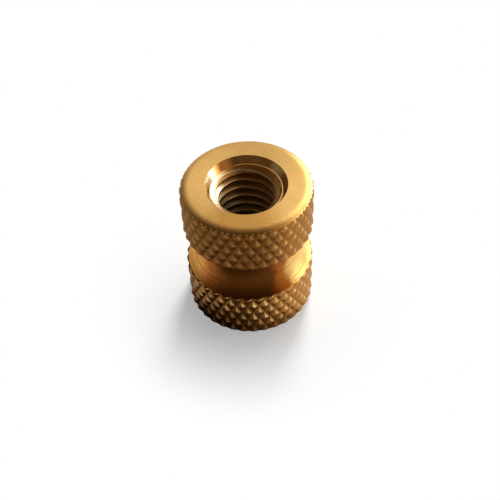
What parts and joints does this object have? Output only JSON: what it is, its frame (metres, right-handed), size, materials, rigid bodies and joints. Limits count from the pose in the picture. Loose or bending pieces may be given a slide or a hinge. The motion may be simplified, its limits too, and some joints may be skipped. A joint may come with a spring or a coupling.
{
  "type": "threaded insert",
  "caption": "Turned brass threaded insert with diamond-knurled bands, a concave waist between them and a countersunk threaded bore.",
  "frame": {"origin": "centre of the lower end face, on the thread axis", "axes": "+Z along the thread axis, out of the upper end; X and Y across the body"},
  "size_m": [0.0118, 0.0118, 0.014],
  "materials": {
    "brass": "turned and knurled brass, satin end faces, bright countersink"
  },
  "bodies": {
    "root": {"insert_body": "brass"}
  },
  "joints": []
}
